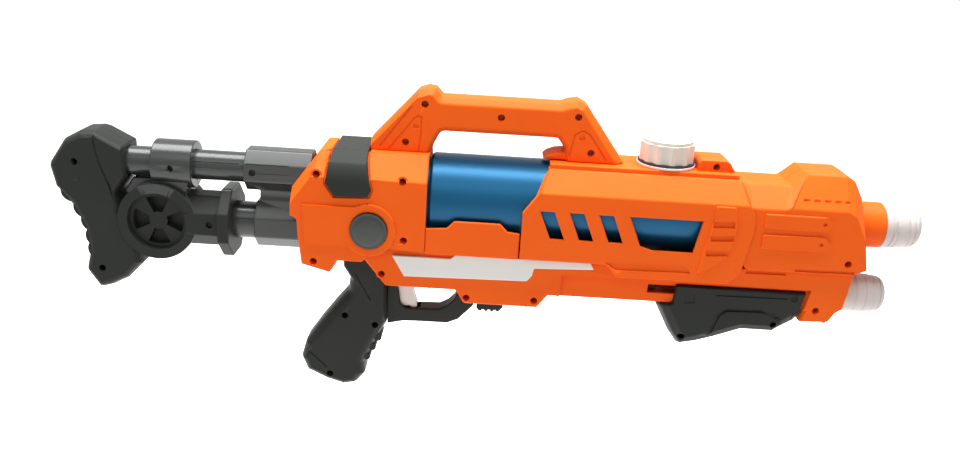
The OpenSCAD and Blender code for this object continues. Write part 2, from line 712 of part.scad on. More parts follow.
module front_housing(side) {
  on_side(side) difference() {
    union() {
      difference() {
        outline_solid(front_outline, front_levels);
        outline_room(front_outline, front_levels);
      }
      for (z = rib_z) {
        translate([rib_rear_x, front_half_w - wall, z - rib_half_h])
          cube([rib_front_x - rib_rear_x, wall + rib_rise, 2 * rib_half_h]);
        y_cylinder(rib_front_x, z, front_half_w - wall, front_half_w + rib_rise, rib_half_h);
      }
      bosses(front_screws, front_half_w - wall / 2);
      // Bulkhead that the tank's nose sits in
      translate([tank_nose_x - wall - through, part_y, tank_z - tank_nose_r - 4])
        cube([wall, front_half_w - wall, 2 * tank_nose_r + 8]);
      // Ring that the nozzle sleeve sits in
      translate([sleeve_rear_x, part_y, nozzle_z - sleeve_r - 4])
        cube([wall, front_half_w - wall, 2 * sleeve_r + 8]);
    }
    x_cylinder(tank_nose_x - 10, tank_nose_x + 2, 0, tank_z, tank_nose_r + fit);
    x_cylinder(sleeve_rear_x - through, sleeve_front_x, 0, nozzle_z, sleeve_r + fit);
    translate([300, -through, front_split_z - 5]) cube([70, lower_half_w - wall + through, 10]);
    for (z = rib_z) y_cylinder(rib_front_x, z, front_half_w, front_half_w + 2 * rib_rise, rib_rise);
    screw_holes(front_screws, side, screw_grip, screw_bite);
  }
}

module front_housing_right() {
  color(orange) front_housing(right);
}

module front_housing_left() {
  color(orange) front_housing(left);
}

module carry_handle(side) {
  on_side(side) difference() {
    union() {
      difference() {
        outline_solid(handle_outline, handle_levels);
        outline_room(handle_outline, handle_levels);
      }
      bosses(bar_screws, handle_half_w - wall / 2);
    }
    screw_holes(bar_screws, side, thin_grip, thin_bite);
  }
}

module carry_handle_right() {
  color(orange) carry_handle(right);
}

module carry_handle_left() {
  color(orange) carry_handle(left);
}

saddle_rise = 1.6;
saddle_half_w = rear_half_w + 2;
saddle_low_z = 134;
saddle_outline = [
  [-4, saddle_low_z], [22, saddle_low_z + 1], [24, 140], [21, 154], [20 - seam, 160], [20 - seam, top_z + 9],
  [-6, top_z + 9], [-9, 160], [-11, 144]
];
// Half of the strap's section across the squirter, outside then inside
saddle_section = [
  [0, top_z + saddle_rise], [22, top_z + saddle_rise], [saddle_half_w - 6, top_z - 7.5],
  [saddle_half_w, top_z - 18.5], [saddle_half_w, saddle_low_z - 5], [rear_half_w + fit, saddle_low_z - 5],
  [rear_half_w + fit, top_z - rear_chamfer + fit], [rear_half_w - rear_chamfer + 0.5, top_z + fit],
  [0, top_z + fit]
];

module rear_saddle() {
  color(grey) intersection() {
    side_plate(saddle_outline, -saddle_half_w - through, saddle_half_w + through);
    rotate([90, 0, 90]) translate([0, 0, -20]) linear_extrude(60)
      polygon(concat(saddle_section, [for (i = [len(saddle_section) - 2 : -1 : 1])
        [-saddle_section[i][0], saddle_section[i][1]]]));
  }
}

// Shallow domed disc in the keyhole panel
module side_button(side) {
  on_side(side) color(grey) {
    y_cylinder(button_x, button_z, rear_half_w + fit, rear_half_w + button_rise, button_r);
    translate([button_x, rear_half_w + button_rise, button_z]) rotate([-90, 0, 0]) rotate_extrude()
      polygon([[0, -0.5], [button_r - 2, -0.5], [button_r - 2, 0.4], [button_r - 5, 1], [0, 1.5]]);
  }
}

module side_button_right() {
  side_button(right);
}

module side_button_left() {
  side_button(left);
}

module side_panel(side) {
  on_side(side) color(white) side_plate(panel_outline, lower_half_w + fit, lower_half_w + panel_t);
}

module side_panel_right() {
  side_panel(right);
}

module side_panel_left() {
  side_panel(left);
}

// Way that the trigger swings in, through the guard, the grip and the floor above them
module trigger_way() {
  translate([33, -trigger_w / 2 - trigger_slack, 28]) cube([30, trigger_w + 2 * trigger_slack, lower_z - 22]);
}

module grip(side) {
  on_side(side) difference() {
    union() {
      difference() {
        outline_solid(grip_outline, grip_levels);
        outline_room(grip_outline, grip_levels);
      }
      bosses(grip_screw_places, grip_half_w - wall);
      for (p = grip_ridges) y_cylinder(p[0], p[1], part_y, grip_half_w - 6, ridge_r);
    }
    trigger_way();
    screw_holes(grip_screw_places, side, thin_grip, thin_bite);
  }
}

module grip_right() {
  color(grey) grip(right);
}

module grip_left() {
  color(grey) grip(left);
}

module trigger_guard() {
  color(grey) difference() {
    side_plate(guard_outline, -guard_half_w, guard_half_w);
    trigger_way();
  }
}

pad_x = guard_end_x + 2 * seam;
pad_l = 21.5;
pad_half_w = 18;
pad_h = 10.5;
pad_notch = 2.2;
pad_notch_h = 1.2;
pad_pitch = 4.8;

// Side view of the pad, in its own corner at the lower rear
pad_outline = [
  [0, 2.5], [2, 0], [pad_l - 3.5, 0], [pad_l, 4], [pad_l, pad_h], [0, pad_h]
];

module finger_pad() {
  color(grey) translate([pad_x, 0, block_z - fit - pad_h]) difference() {
    side_plate(pad_outline, -pad_half_w, pad_half_w);
    for (i = [0 : 2])
      translate([pad_pitch * i + 2 * pad_notch, -pad_half_w - through, -through])
        cube([pad_notch, 2 * (pad_half_w + through), pad_notch_h + through]);
  }
}

module trigger() {
  color(white) difference() {
    union() {
      side_plate(trigger_outline, -trigger_w / 2, trigger_w / 2);
      y_cylinder(pivot_x, pivot_z, -trigger_w / 2, trigger_w / 2, hub_r);
    }
    y_cylinder(pivot_x, pivot_z, -trigger_w, trigger_w, pin_r + fit);
    // Slot that the valve stem passes through
    translate([40, -stem_r - 0.5, valve_z - stem_r - 2.5]) cube([22, 2 * stem_r + 1, 2 * stem_r + 5]);
  }
}

module trigger_pin() {
  color(steel) y_cylinder(pivot_x, pivot_z, -lower_half_w + wall + slack, lower_half_w - wall - slack, pin_r);
}

seat_x = 100;
stem_collar_x = 90;
stem_collar_l = 6;
seal_t = 1.5;
spring_seat_x = valve_rear_x + wall;

module valve_body() {
  color(white) difference() {
    union() {
      x_cylinder(valve_rear_x, valve_front_x, 0, valve_z, valve_r);
      x_cylinder(valve_front_x - through, valve_front_x + spigot_l, 0, valve_z, spigot_r);
      translate([valve_inlet_x, 0, valve_z]) cylinder(h = spigot_meet_z - fit - valve_z, r = spigot_r);
    }
    x_cylinder(spring_seat_x, seat_x, 0, valve_z, valve_bore_r);
    x_cylinder(valve_rear_x - through, valve_rear_x + 2 * wall, 0, valve_z, stem_r + fit);
    x_cylinder(seat_x - through, valve_front_x + 2 * spigot_l, 0, valve_z, spigot_r / 2);
    translate([valve_inlet_x, 0, valve_z]) cylinder(h = valve_z, r = spigot_r / 2);
  }
}

module valve_stem() {
  color(brass) difference() {
    union() {
      x_cylinder(stem_head_x, stem_head_x + stem_head_l, 0, valve_z, stem_r + 1.4);
      x_cylinder(stem_head_x + through, stem_collar_x + stem_collar_l, 0, valve_z, stem_r);
      x_cylinder(stem_collar_x, stem_collar_x + stem_collar_l, 0, valve_z, valve_bore_r - fit);
    }
    difference() {
      x_cylinder(stem_collar_x + 2, stem_collar_x + 4, 0, valve_z, valve_bore_r * 2);
      x_cylinder(stem_collar_x, stem_collar_x + stem_collar_l, 0, valve_z, valve_bore_r - seal_t);
    }
  }
}

module stem_seal() {
  color(rubber) difference() {
    x_cylinder(stem_collar_x + 2 + fit, stem_collar_x + 4 - fit, 0, valve_z, valve_bore_r - fit);
    x_cylinder(stem_collar_x, stem_collar_x + stem_collar_l, 0, valve_z, valve_bore_r - seal_t + fit);
  }
}

spring_gap = (stem_collar_x - spring_seat_x - 2 * wire_r) / spring_turns - 2 * wire_r;
echo(spring_gap = spring_gap);

module valve_spring() {
  color(steel) coil(spring_seat_x + fit, stem_collar_x - fit, valve_z, (valve_bore_r + stem_r) / 2);
}

module tank_spigot(x, y) {
  translate([x, y, spigot_meet_z + fit]) cylinder(h = tank_z - tank_r + 4 - spigot_meet_z, r = spigot_r);
}

module water_tank() {
  color(blue) difference() {
    union() {
      translate([0, 0, tank_z]) rotate([0, 90, 0]) rotate_extrude() polygon([
        [0, tank_rear_x], [tank_seat_r - 2, tank_rear_x], [tank_seat_r, tank_rear_x + 2],
        [tank_seat_r, rear_end_x + 1], [tank_r - 2, rear_end_x + 1], [tank_r, rear_end_x + 3],
        [tank_r, tank_front_x - 6], [tank_r - 6, tank_front_x], [tank_nose_r, tank_front_x],
        [tank_nose_r, tank_nose_x], [0, tank_nose_x]
      ]);
      translate([cap_x, 0, tank_z + tank_r - 4]) cylinder(h = neck_top_z - tank_z - tank_r + 4, r = neck_r);
      translate([cap_x, 0, flange_low_z]) cylinder(h = flange_h, r = cap_r + 1.5);
      tank_spigot(valve_inlet_x, 0);
      tank_spigot(air_x, air_y);
    }
    difference() {
      translate([0, 0, tank_z]) rotate([0, 90, 0]) rotate_extrude() polygon([
        [0, tank_rear_x + tank_wall], [tank_seat_r - tank_wall, tank_rear_x + tank_wall],
        [tank_seat_r - tank_wall, rear_end_x + 1 + tank_wall],
        [tank_r - tank_wall, rear_end_x + 3 + tank_wall],
        [tank_r - tank_wall, tank_front_x - 6 - tank_wall], [tank_r - 6, tank_front_x - tank_wall],
        [0, tank_front_x - tank_wall]
      ]);
      // Flat seat of the check valve
      translate([air_x, air_y, tank_z - tank_r]) cylinder(h = check_seat_h, r = 2 * spigot_r);
    }
    translate([cap_x, 0, tank_z]) cylinder(h = neck_top_z, r = neck_r - neck_wall);
    translate([valve_inlet_x, 0, valve_z]) cylinder(h = tank_z - valve_z, r = spigot_r / 2);
    translate([air_x, air_y, valve_z]) cylinder(h = tank_z - valve_z, r = spigot_r / 2);
  }
}

module check_valve() {
  color(rubber) translate([air_x, air_y, tank_z - tank_r + check_seat_h + fit])
    cylinder(h = check_t, r = 2 * spigot_r - 4 * slack);
}

module cap_seal() {
  color(rubber) translate([cap_x, 0, seal_z]) difference() {
    cylinder(h = seal_h, r = cap_r + 0.8);
    translate([0, 0, -through]) cylinder(h = seal_h + 2 * through, r = neck_r + slack);
  }
}

// Ribbed cap that screws on to the neck
module fill_cap() {
  color(white) translate([cap_x, 0, cap_z]) difference() {
    union() {
      linear_extrude(cap_h - 2.5) polygon([for (i = [0 : 4 * cap_lobes - 1])
        let (a = 90 * i / cap_lobes, r = i % 4 < 2 ? cap_r : cap_r - lobe_depth) r * [cos(a), sin(a)]]);
      translate([0, 0, cap_h - 3]) cylinder(h = 3, r = cap_r - 2);
    }
    translate([0, 0, -through]) cylinder(h = cap_h - 3 + through, r = neck_r + slack + 0.2);
  }
}

module outlet_sleeve() {
  color(rubber) translate([valve_inlet_x, 0, spigot_meet_z - outlet_l / 2]) difference() {
    cylinder(h = outlet_l, r = spigot_r + 1.6);
    translate([0, 0, -through]) cylinder(h = outlet_l + 2 * through, r = spigot_r + fit);
  }
}

module nozzle_hose() {
  color(rubber) routed_tube(hose_route, 0, hose_r);
}

module air_hose() {
  color(rubber) routed_tube(air_route, air_y, air_hose_r);
}

module pump_cylinder() {
  color(white) difference() {
    union() {
      x_cylinder(cylinder_rear_x, cylinder_front_x, 0, pump_z, cylinder_r);
      x_cylinder(cylinder_rear_x - spigot_l, cylinder_rear_x + through, air_y, pump_z, air_hose_r);
    }
    x_cylinder(cylinder_rear_x + wall, cylinder_front_x + through, 0, pump_z, bore_r);
    x_cylinder(cylinder_rear_x - 2 * spigot_l, cylinder_rear_x + 2 * wall, air_y, pump_z, air_hose_r / 2);
  }
}

module pump_gland() {
  color(white) difference() {
    union() {
      x_cylinder(cylinder_front_x - gland_l, cylinder_front_x + through, 0, pump_z, bore_r - fit);
      x_cylinder(cylinder_front_x + fit, cylinder_front_x + wall, 0, pump_z, cylinder_r);
    }
    x_cylinder(piston_front_x, cylinder_front_x + gland_l, 0, pump_z, rod_r + fit);
  }
}

module pump_piston() {
  color(white) difference() {
    x_cylinder(piston_rear_x, piston_front_x, 0, pump_z, bore_r - 2 * fit);
    difference() {
      x_cylinder(groove_x, groove_x + groove_l, 0, pump_z, cylinder_r);
      x_cylinder(groove_x - through, groove_x + groove_l + through, 0, pump_z, bore_r - groove_depth);
    }
    x_cylinder(piston_front_x - rod_bite, piston_front_x + through, 0, pump_z, rod_r + fit);
  }
}

module piston_ring() {
  color(rubber) difference() {
    x_cylinder(groove_x + fit, groove_x + groove_l - fit, 0, pump_z, bore_r - fit);
    x_cylinder(groove_x, groove_x + groove_l, 0, pump_z, bore_r - groove_depth + fit);
  }
}

module pump_rod() {
  color(steel) x_cylinder(piston_front_x - rod_bite + fit, bar_rear_x - fit, 0, pump_z, rod_r);
}

module pump_cross_bar() {
  color(white) difference() {
    translate([bar_rear_x, -rail_half_w - run_gap + fit, pump_z - bar_h / 2])
      cube([bar_front_x - bar_rear_x, 2 * (rail_half_w + run_gap - fit), bar_h]);
    for (s = [right, left]) on_side(s)
      y_cylinder(bar_x, pump_z, rail_half_w - bar_bite - 2, rail_half_w + 2, screw_r + fit);
  }
}

module pump_handle(side) {
  on_side(side) difference() {
    union() {
      difference() {
        outline_solid(pump_outline, pump_levels);
        outline_room(pump_outline, pump_levels);
      }
      bosses(pump_screw_places, pump_half_w - 8);
      // Floor under the rail
      intersection() {
        outline_solid(pump_outline, pump_levels);
        translate([recess_rear_x, part_y, lower_z - run_gap - wall])
          cube([recess_front_x - recess_rear_x, pump_half_w, wall]);
      }
      // Pads that the cross bar is screwed to
      y_cylinder(bar_x, pump_z, rail_half_w, pump_half_w - wall / 2, bar_pad_r);
    }
    // Channel for the rail
    translate([recess_rear_x, -through, lower_z - run_gap])
      cube([
        recess_front_x - recess_rear_x, rail_half_w + run_gap + through, recess_top_z - lower_z + run_gap
      ]);
    screw_holes(pump_screw_places, side, screw_grip, screw_bite);
    y_cylinder(bar_x, pump_z, rail_half_w - through, 2 * pump_half_w, screw_r + slack);
    y_cylinder(bar_x, pump_z, pump_half_w - pad_sunk, 2 * pump_half_w, head_r + slack);
  }
}

module pump_handle_right() {
  color(grey) pump_handle(right);
}

module pump_handle_left() {
  color(grey) pump_handle(left);
}

module nozzle_sleeve() {
  color(orange) difference() {
    x_cylinder(sleeve_rear_x, sleeve_front_x, 0, nozzle_z, sleeve_r);
    x_cylinder(sleeve_rear_x - through, sleeve_front_x + through, 0, nozzle_z, sleeve_r - sleeve_wall);
  }
}

// White tip with two grooves and a rounded front, tip at x1
module tip_ring(x0, x1, z, r, bore) {
  translate([0, 0, z]) rotate([0, 90, 0]) rotate_extrude() polygon([
    [bore, x0], [r - 0.6, x0], [r, x0 + 0.6], [r, x0 + 8], [r - 1, x0 + 8.6], [r - 1, x0 + 10],
    [r - 0.3, x0 + 10.6], [r - 0.6, x1 - 12], [r - 1.6, x1 - 11.4], [r - 1.6, x1 - 10], [r - 1, x1 - 9.4],
    [r - 1.8, x1 - 4], [r - 3.5, x1 - 1.4], [r - 6, x1], [r - 9, x1], [bore, x1 - 5]
  ]);
}

module nozzle_cap() {
  color(white) tip_ring(sleeve_front_x + fit, nozzle_tip_x, nozzle_z, sleeve_r - slack, jet_seat_r);
}

module jet_insert() {
  color(brass) difference() {
    union() {
      x_cylinder(jet_rear_x + fit, nozzle_tip_x - jet_sunk, 0, nozzle_z, hose_r);
      x_cylinder(sleeve_front_x - jet_sunk, nozzle_tip_x - jet_sunk, 0, nozzle_z, jet_seat_r - fit);
      x_cylinder(sleeve_rear_x, sleeve_rear_x + jet_sunk, 0, nozzle_z, sleeve_r - sleeve_wall - fit);
    }
    x_cylinder(jet_rear_x, nozzle_tip_x, 0, nozzle_z, jet_r);
  }
}

module lower_barrel() {
  color(orange) difference() {
    x_cylinder(barrel_rear_x, barrel_front_x, 0, low_nozzle_z, barrel_r);
    x_cylinder(barrel_rear_x - through, barrel_front_x + through, 0, low_nozzle_z, barrel_r - barrel_wall);
  }
}

module lower_nozzle_cap() {
  color(white) difference() {
    tip_ring(low_cap_x, low_tip_x, low_nozzle_z, low_nozzle_r, low_bore_r);
    x_cylinder(low_cap_x - through, barrel_front_x + fit, 0, low_nozzle_z, barrel_r + fit);
  }
}

module butt(side) {
  on_side(side) difference() {
    union() {
      difference() {
        outline_solid(butt_outline, butt_levels);
        outline_room(butt_outline, butt_levels);
      }
      bosses(butt_screws, butt_half_w - wall / 2);
      // Socket of the upper tube
      intersection() {
        outline_solid(butt_outline, butt_levels);
        x_cylinder(top_tube_x - wall, top_tube_x + 16, 0, stock_top_z, top_tube_r + wall);
        translate([-240, part_y, 0]) cube([100, 100, 200]);
      }
    }
    x_cylinder(top_tube_x, top_tube_x + 30, 0, stock_top_z, top_tube_r + fit);
    y_cylinder(disc_x, stock_low_z, -through, 2 * butt_half_w, disc_r + fit);
    screw_holes(butt_screws, side, thin_grip, thin_bite);
  }
}

module butt_right() {
  color(grey) butt(right);
}

module butt_left() {
  color(grey) butt(left);
}

collar_r = 19;
collar_x = -152;
collar_l = 32;
bracket_half_w = 15;
web_half_t = 6;
flange_x = -97;
flange_l = 8;
arm_half_h = 20.5;
flange_half_h = 28;
pocket_r = 22;

module stock_frame(side) {
  on_side(side) difference() {
    intersection() {
      union() {
        x_cylinder(collar_x, collar_x + collar_l, 0, stock_top_z, collar_r);
        side_plate([
          [collar_x, stock_low_z], [low_tube_x + 2, stock_low_z], [collar_x + 28, stock_top_z],
          [collar_x, stock_top_z]
        ], -bracket_half_w, bracket_half_w);
        // Web that closes the corner between the butt, the disc and the upper tube
        side_plate([
          [-168, stock_low_z + 14], [collar_x + through, stock_low_z + 14],
          [collar_x + through, stock_top_z - top_tube_r - seam], [-170, stock_top_z - top_tube_r - seam],
          [-177, 119]
        ], -web_half_t, web_half_t);
        y_cylinder(disc_x, stock_low_z, -disc_half_w, disc_half_w, disc_r);
        x_octagon(disc_x, flange_x, stock_low_z, arm_half_h);
        x_octagon(flange_x - through, flange_x + flange_l, stock_low_z, flange_half_h);
      }
      translate([disc_x - disc_r, part_y, 0])
        cube([2 * disc_r + flange_x - disc_x, disc_r, stock_top_z + disc_r]);
    }
    x_cylinder(collar_x - through, collar_x + collar_l + through, 0, stock_top_z, top_tube_r + fit);
    x_cylinder(low_tube_x, flange_x + flange_l + through, 0, stock_low_z, low_tube_r + fit);
    // Dished face with four pockets between the arms of a cross
    y_cylinder(disc_x, stock_low_z, disc_half_w - 2, disc_half_w + 2, pocket_r);
    for (a = [0 : 90 : 270]) translate([disc_x, 0, stock_low_z]) rotate([0, a, 0])
      y_cylinder(pocket_r * 0.62, 0, disc_half_w - 9, disc_half_w + 2, pocket_r * 0.27);
    screw_holes(collar_screws, side, top_grip, top_bite);
    screw_holes(arm_screws, side, low_grip, low_bite);
  }
}

module stock_frame_right() {
  color(grey) stock_frame(right);
}

module stock_frame_left() {
  color(grey) stock_frame(left);
}

// Cross holes that the screws pass through
module cross_holes(places) {
  for (p = places) y_cylinder(p[0], p[1], -low_bite, low_bite, screw_r + slack);
}

module upper_stock_tube() {
  color(grey) difference() {
    x_cylinder(top_tube_x + fit, socket_end_x - socket_wall, 0, stock_top_z, top_tube_r);
    x_cylinder(top_tube_x - through, socket_end_x, 0, stock_top_z, top_tube_r - tube_wall);
    cross_holes(concat(collar_screws, socket_screws));
  }
}

module lower_stock_tube() {
  color(grey) difference() {
    x_cylinder(low_tube_x + fit, socket_end_x - socket_wall, 0, stock_low_z, low_tube_r);
    x_cylinder(low_tube_x - through, socket_end_x, 0, stock_low_z, low_tube_r - tube_wall);
    cross_holes(arm_screws);
  }
}

top_sleeve_half = 16.5;
low_sleeve_half = 19;
top_sleeve_x = -79;
low_sleeve_x = -71;
web_x = -68;
web_half_w = 8;

// Outer shape of the socket, grown by gap
module stock_socket_shape(gap) {
  x_octagon(top_sleeve_x, socket_end_x + gap, stock_top_z, top_sleeve_half + gap);
  x_octagon(low_sleeve_x, socket_end_x + gap, stock_low_z, low_sleeve_half + gap);
  translate([web_x, -web_half_w - gap, stock_low_z])
    cube([socket_end_x - web_x + gap, 2 * (web_half_w + gap), stock_top_z - stock_low_z]);
}

module stock_socket() {
  color(grey) difference() {
    stock_socket_shape(0);
    x_cylinder(top_tube_x, socket_end_x - socket_wall, 0, stock_top_z, top_tube_r + fit);
    x_cylinder(low_tube_x, socket_end_x - socket_wall, 0, stock_low_z, low_tube_r + fit);
    for (p = socket_screws) {
      y_cylinder(p[0], p[1], -2 * top_sleeve_half, -top_grip, head_r + slack);
      y_cylinder(p[0], p[1], -top_grip - through, top_bite, screw_r + fit);
    }
  }
}

module casing_screws() {
  color(steel) {
    screws(rear_screws, screw_grip, screw_bite);
    screws(lower_screws, screw_grip, screw_bite);
    screws(shroud_screws, thin_grip, thin_bite);
    screws(front_screws, screw_grip, screw_bite);
  }
}

module handle_screws() {
  color(steel) screws(bar_screws, thin_grip, thin_bite);
}

module grip_screws() {
  color(steel) screws(grip_screw_places, thin_grip, thin_bite);
}

module pump_screws() {
  color(steel) {
    screws(pump_screw_places, screw_grip, screw_bite);
    for (s = [right, left]) on_side(s) {
      y_cylinder(bar_x, pump_z, rail_half_w - bar_bite, pump_half_w - pad_sunk / 2, screw_r);
      y_cylinder(bar_x, pump_z, pump_half_w - pad_sunk, pump_half_w - pad_sunk + head_h, head_r);
    }
  }
}

module stock_screws() {
  color(steel) {
    screws(butt_screws, thin_grip, thin_bite);
    screws(concat(collar_screws, socket_screws), top_grip, top_bite);
    screws(arm_screws, low_grip, low_bite);
  }
}

rear_housing_right();
rear_housing_left();
lower_body_right();
lower_body_left();
tank_shroud_right();
tank_shroud_left();
front_housing_right();
front_housing_left();
carry_handle_right();
carry_handle_left();
rear_saddle();
side_button_right();
side_button_left();
side_panel_right();
side_panel_left();
grip_right();
grip_left();
trigger_guard();
finger_pad();
trigger();
trigger_pin();
valve_body();
valve_stem();
stem_seal();
valve_spring();
water_tank();
cap_seal();
fill_cap();
outlet_sleeve();
nozzle_hose();
air_hose();
check_valve();
pump_cylinder();
pump_gland();
pump_piston();
piston_ring();
pump_rod();
pump_cross_bar();
pump_handle_right();
pump_handle_left();
nozzle_sleeve();
nozzle_cap();
jet_insert();
lower_barrel();
lower_nozzle_cap();
butt_right();
butt_left();
stock_frame_right();
stock_frame_left();
upper_stock_tube();
lower_stock_tube();
stock_socket();
casing_screws();
handle_screws();
grip_screws();
pump_screws();
stock_screws();
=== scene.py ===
# %% [markdown]
# A pump water squirter, dressed for a product photograph.
# The CAD frame already holds every shell, hose and screw in its place.
# Each step below takes one group of pieces and gives it the soft edges, grooves and dents of moulded plastic.
# Lengths are written in millimetres and turned into metres by one small function.

# %% Load the frame and note its box
import bpy
import json
import math
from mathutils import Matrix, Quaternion, Vector

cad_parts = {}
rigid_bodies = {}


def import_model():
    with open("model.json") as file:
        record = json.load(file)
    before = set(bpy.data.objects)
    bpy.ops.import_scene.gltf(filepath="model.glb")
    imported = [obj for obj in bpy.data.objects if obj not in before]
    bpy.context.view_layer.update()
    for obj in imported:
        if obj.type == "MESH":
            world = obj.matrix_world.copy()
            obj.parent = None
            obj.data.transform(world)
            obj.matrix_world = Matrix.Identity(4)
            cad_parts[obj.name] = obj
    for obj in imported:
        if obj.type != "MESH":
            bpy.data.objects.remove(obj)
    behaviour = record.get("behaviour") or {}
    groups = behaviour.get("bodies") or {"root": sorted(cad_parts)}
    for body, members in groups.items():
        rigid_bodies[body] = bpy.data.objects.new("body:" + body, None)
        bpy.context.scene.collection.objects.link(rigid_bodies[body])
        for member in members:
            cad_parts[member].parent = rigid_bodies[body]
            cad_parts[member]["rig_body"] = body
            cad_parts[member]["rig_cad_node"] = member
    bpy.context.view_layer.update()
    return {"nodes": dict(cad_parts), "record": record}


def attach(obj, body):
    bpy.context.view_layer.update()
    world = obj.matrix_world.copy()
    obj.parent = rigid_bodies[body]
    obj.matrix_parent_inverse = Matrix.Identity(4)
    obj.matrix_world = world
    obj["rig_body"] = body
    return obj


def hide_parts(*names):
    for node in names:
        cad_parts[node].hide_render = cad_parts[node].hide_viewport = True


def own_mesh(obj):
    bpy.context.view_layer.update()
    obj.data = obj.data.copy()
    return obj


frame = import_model()
SIDES = {"right": -1, "left": 1}
print("nodes in the frame:", len(frame["nodes"]))


def mm(*values):
    return tuple(v / 1000 for v in values)


# %% [markdown]
# A CAD node is never changed, so a shell that needs carving is copied first.
# The copy is loose triangles: merging its corners and dissolving flat edges gives faces that bevel well.
# Rebuilding the shell by hand would work too, but the copy keeps every screw hole where the CAD has it.
# Faces near the places in away stay triangles, since joining goes wrong where a face has a hole or a slot.

# %% Copy a shell
def only(*pieces):
    bpy.ops.object.select_all(action="DESELECT")
    for piece in pieces:
        piece.select_set(True)
    bpy.context.view_layer.objects.active = pieces[0]


def in_edit_mode(piece):
    only(piece)
    bpy.ops.object.mode_set(mode="EDIT")
    bpy.ops.mesh.select_all(action="SELECT")


def near(spot, places):
    return any(math.hypot(spot.x * 1000 - x, spot.z * 1000 - z) < r for x, z, r in places)


def join_flat_faces(piece, away):
    in_edit_mode(piece)
    bpy.ops.mesh.select_mode(type="FACE")
    bpy.ops.object.mode_set(mode="OBJECT")
    for face in piece.data.polygons:
        face.select = not near(face.center, away)
    bpy.ops.object.mode_set(mode="EDIT")
    bpy.ops.mesh.dissolve_limited(angle_limit=math.radians(0.5))
    bpy.ops.object.mode_set(mode="OBJECT")


def skin_of(name, away=()):
    only(frame["nodes"][name])
    bpy.ops.object.duplicate()
    piece = bpy.context.object
    del piece["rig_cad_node"]
    piece.parent = None
    piece.name = name + "_skin"
    in_edit_mode(piece)
    bpy.ops.mesh.remove_doubles(threshold=2e-6)
    bpy.ops.object.mode_set(mode="OBJECT")
    join_flat_faces(piece, away)
    return piece


# %% [markdown]
# A mould maker cuts a groove or a dent with a milling cutter of that shape.
# Here the cutter is a solid of its own, and a Boolean modifier takes it away from the shell.
# What stands out, such as a nub, needs no Boolean: it is joined into the shell's mesh and sinks in its wall.
# A ray from the side finds how far out the surface is, so a cutter reaches the same depth below it.

# %% Cutters
def apply(piece, kind, **settings):
    only(piece)
    bpy.ops.object.modifier_add(type=kind)
    modifier = piece.modifiers[-1]
    for key, value in settings.items():
        setattr(modifier, key, value)
    bpy.ops.object.modifier_apply(modifier=modifier.name)


def cut(piece, tool):
    apply(piece, "BOOLEAN", operation="DIFFERENCE", object=tool, solver="EXACT")
    bpy.data.objects.remove(tool)


def add(piece, extra):
    only(piece, extra)
    bpy.ops.object.join()


def slab(outline, y0, y1):
    bpy.ops.mesh.primitive_circle_add(vertices=len(outline), radius=0.01, fill_type="NGON")
    piece = bpy.context.object
    for corner, (x, z) in zip(piece.data.vertices, outline):
        corner.co = mm(x, y0, z)
    in_edit_mode(piece)
    bpy.ops.mesh.extrude_region_move(TRANSFORM_OT_translate={"value": mm(0, y1 - y0, 0)})
    bpy.ops.mesh.select_all(action="SELECT")
    bpy.ops.mesh.normals_make_consistent(inside=False)
    bpy.ops.object.mode_set(mode="OBJECT")
    return piece


def skin_y(piece, x, z, sign):
    bpy.context.view_layer.update()
    start = Vector(mm(x, sign * 150, z))
    hit, spot, normal, index = piece.ray_cast(start, Vector((0, -sign, 0)))
    assert hit, (piece.name, x, z)
    return abs(spot.y) * 1000


# %% [markdown]
# The three marks that most of these shells carry: a sunk area, a line and a round dent.
# A line is a narrow strip laid along its points, and a dent is a flattened ball.

# %% Sunk areas, lines and dents
def sink(piece, sign, outline, depth, at=None):
    xs, zs = zip(*outline)
    x, z = at or (sum(xs) / len(xs), sum(zs) / len(zs))
    out = skin_y(piece, x, z, sign)
    cut(piece, slab(outline, sign * (out - depth), sign * (out + 6)))


def line(piece, sign, points, width, depth):
    for (x0, z0), (x1, z1) in zip(points, points[1:]):
        run = Vector((x1 - x0, z1 - z0)).normalized()
        along = run * width / 2
        off = Vector((-run.y, run.x)) * width / 2
        a, b = Vector((x0, z0)) - along, Vector((x1, z1)) + along
        sink(piece, sign, [tuple(a - off), tuple(b - off), tuple(b + off), tuple(a + off)], depth)


def ball_at(piece, sign, x, z, wide, high, depth):
    out = skin_y(piece, x, z, sign)
    bpy.ops.mesh.primitive_uv_sphere_add(
        segments=24, ring_count=12, radius=0.001, location=mm(x, sign * out, z))
    ball = bpy.context.object
    in_edit_mode(ball)
    bpy.ops.transform.resize(value=(wide / 2, depth, high / 2))
    bpy.ops.object.mode_set(mode="OBJECT")
    return ball


# %% [markdown]
# Moulded plastic has no knife edges: every outer corner is rounded by about a millimetre.
# A Bevel modifier over the whole shell would also eat the tiny faces of screw holes and break them.
# So only the long outward corners between large faces are selected, and the bevel operator rounds those.

# %% Round the outer corners
def outer_edges(piece, sign, away):
    faces = {}
    for face in piece.data.polygons:
        for key in face.edge_keys:
            faces.setdefault(key, []).append(face)
    corners = piece.data.vertices
    found = []
    for edge in piece.data.edges:
        pair = faces[edge.key]
        start, end = (corners[i].co for i in edge.vertices)
        length = (start - end).length
        if len(pair) != 2 or length < 0.00075 or min(f.area for f in pair) < 1.5e-6:
            continue
        one, two = pair
        sharp = one.normal.angle(two.normal, 0) > math.radians(30)
        convex = (two.center - one.center).dot(one.normal) < 0
        outside = min(one.normal.y * sign, two.normal.y * sign) > -0.3
        if sharp and convex and outside and not near(start, away):
            found.append(edge)
    return found


